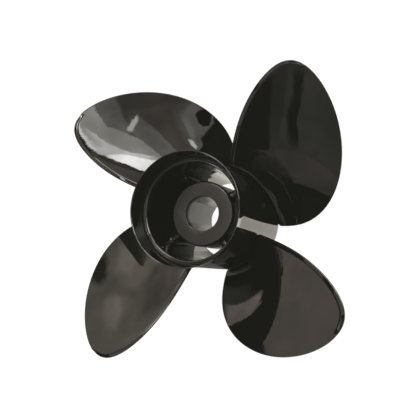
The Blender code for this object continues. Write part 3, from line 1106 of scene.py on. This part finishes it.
def distance_to(outline, points):
    """Shortest distance from each point to a chain of straight stretches."""
    start = outline[:-1]
    along = outline[1:] - start
    square = np.maximum((along ** 2).sum(-1), TINY)
    offset = points[:, None, :] - start[None]
    t = np.clip((offset * along).sum(-1) / square, 0.0, 1.0)
    gap = offset - t[..., None] * along
    return np.sqrt((gap ** 2).sum(-1).min(1))


def trailing_share(across):
    """0 on the leading side and 1 on the trailing side, with a soft change between."""
    t = np.clip(across / TRAILING_BLEND, 0.0, 1.0)
    return t * t * (3.0 - 2.0 * t)


def round_drop(distance, radius, across):
    """How far the edge falls away at a distance. The trailing edge is squarer."""
    t = np.clip(1.0 - distance / radius, 0.0, 1.0)
    power = 2.0 + (EDGE_SQUARENESS - 2.0) * trailing_share(across)
    return radius * (1.0 - np.maximum(1.0 - t ** power, 0.0) ** (1.0 / power))


def bevel_drop(distance):
    """How far the ground bevel falls away."""
    x = BEVEL_WIDTH - distance
    return BEVEL_SLOPE * (np.sqrt(x * x + BEVEL_SOFTNESS ** 2) + x) / 2.0


def edge_round(across):
    """Radius of the rounded edge, larger at the leading edge."""
    share = trailing_share(across)
    return EDGE_ROUND_LEADING + (EDGE_ROUND_TRAILING - EDGE_ROUND_LEADING) * share


def edge_thickness(across):
    """Thickness that is left at the outline before it is rounded."""
    return 2.0 * edge_round(across) + trailing_share(across) * bevel_drop(0.0)


def blade_thickness(radius, across):
    """Thickness of the blade, full in the middle and thin at both edges."""
    span = np.clip(blade_span(radius), 0.0, 1.0)
    full = ROOT_THICKNESS + (TIP_THICKNESS - ROOT_THICKNESS) * span ** THICKNESS_FALL
    thin = edge_thickness(across)
    return thin + (full - thin) * np.maximum(1.0 - across ** 2, 0.0) ** SECTION_FULLNESS


blade_outline = outline_points()
print("points in the outline of a blade:", len(blade_outline))

# %% [markdown]
# ## The sections of a blade
# The blade is a stack of closed loops, one at each radius. The points of a loop crowd
# together towards the edges, where the shape turns fastest.

# %% Compute one section
CHORD_STEPS = 96
EDGE_CROWDING = 3


def chord_fractions():
    """Places across the blade, crowded towards both edges."""
    x = np.linspace(-1.0, 1.0, CHORD_STEPS + 1)
    return np.sign(x) * crowd(np.abs(x), EDGE_CROWDING)


def section_loop(radius, across):
    """Angles and heights of the closed loop of the section at one radius."""
    angle = blade_angle(radius, across)
    height = blade_height(radius, angle)
    distance = distance_to(blade_outline, on_face(radius, across))
    distance[0] = distance[-1] = 0.0
    fall = round_drop(distance, edge_round(across), across)
    aft = -trailing_share(across) * bevel_drop(distance) - fall
    front = -blade_thickness(radius, across) + fall
    slope = np.arctan2(blade_lead(radius), radius)
    sides = [(angle - depth * np.sin(slope) / radius, height + depth * np.cos(slope))
             for depth in (aft, front)]
    return [np.concatenate([face, back[-2:0:-1]]) for face, back in zip(*sides)]


def swell(angle, height, radius, amount):
    """Move a loop outwards in its unrolled plane."""
    along = angle * radius
    step_along = np.roll(along, -1) - np.roll(along, 1)
    step_up = np.roll(height, -1) - np.roll(height, 1)
    size = np.maximum(np.hypot(step_along, step_up), TINY)
    return angle + amount * step_up / size / radius, height - amount * step_along / size


blade_across = chord_fractions()
print("points in each section:", 2 * CHORD_STEPS)

# %% [markdown]
# ## One blade
# At the root the loops swell outwards along a quarter circle until they lie on the
# barrel's wall, which makes the cast fillet. Further out they crowd towards the tip.

# %% Stack the sections
SPAN_STEPS = 84
FILLET_STEPS = 10
ROOT_SINK = 0.0003
TIP_INSET = 0.00002


def root_loops():
    """Loops of the fillet, from just inside the barrel's wall to the free blade."""
    rows = []
    for k in range(-1, FILLET_STEPS + 1):
        turn = math.pi / 2.0 * max(k, 0) / FILLET_STEPS
        out = ROOT_FILLET * (1.0 - math.cos(turn)) if k >= 0 else -ROOT_SINK
        nominal = BARREL_AFT_RADIUS + out
        loop = section_loop(nominal, blade_across)
        angle, height = swell(*loop, nominal, ROOT_FILLET * (1.0 - math.sin(turn)))
        rows.append((angle, height, barrel_outer(height) + out))
    return rows


def free_loops():
    """Loops from the end of the fillet to the tip."""
    start = BARREL_FRONT_RADIUS + ROOT_FILLET
    reach = TIP_RADIUS - TIP_INSET - start
    radii = [start + reach * crowd(k / SPAN_STEPS, TIP_CROWDING) for k in range(1, SPAN_STEPS + 1)]
    return [(*section_loop(radius, blade_across), radius) for radius in radii]


def blade_mesh_data():
    """Points and faces of one blade, before it is turned to its place."""
    rows = root_loops() + free_loops()
    verts = []
    for angle, height, radius in rows:
        level = np.maximum(height, FRONT_CLEARANCE)
        verts.append(np.stack([radius * np.cos(angle), radius * np.sin(angle), level], -1))
    count = 2 * CHORD_STEPS
    faces = closed_rows(len(rows), count)
    top = (len(rows) - 1) * count
    # The tip is closed by a strip across it, with single points where both sides meet.
    for k in range(CHORD_STEPS):
        strip = [k, k + 1, (count - k - 1) % count, (count - k) % count]
        faces.append(tuple(top + point for point in dict.fromkeys(strip)))
    faces.append(tuple(range(count)))
    return np.concatenate(verts), faces


blade_points, blade_faces = blade_mesh_data()
print("one blade:", len(blade_points), "points,", len(blade_faces), "faces")

# %% [markdown]
# ## Four blades
# The blades are alike. Each is the same loft, turned a quarter further round the axis.

# %% Turn four blades to their places
def make_blade(number):
    """One of the four blades."""
    angle = RIB_ANGLE - BLADE_LAG + (number - 1) * 2.0 * math.pi / BLADE_COUNT
    turn = np.array(Matrix.Rotation(angle, 3, "Z"))
    blade = paint_object(f"blade_surface_{number}", blade_points @ turn.T, blade_faces)
    blade.data.set_sharp_from_angle(angle=BLADE_SMOOTH_ANGLE)
    return blade


for number in range(1, BLADE_COUNT + 1):
    blade = make_blade(number)
    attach(blade, "root")
    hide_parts(f"blade_{number}")
print("blades:", BLADE_COUNT)
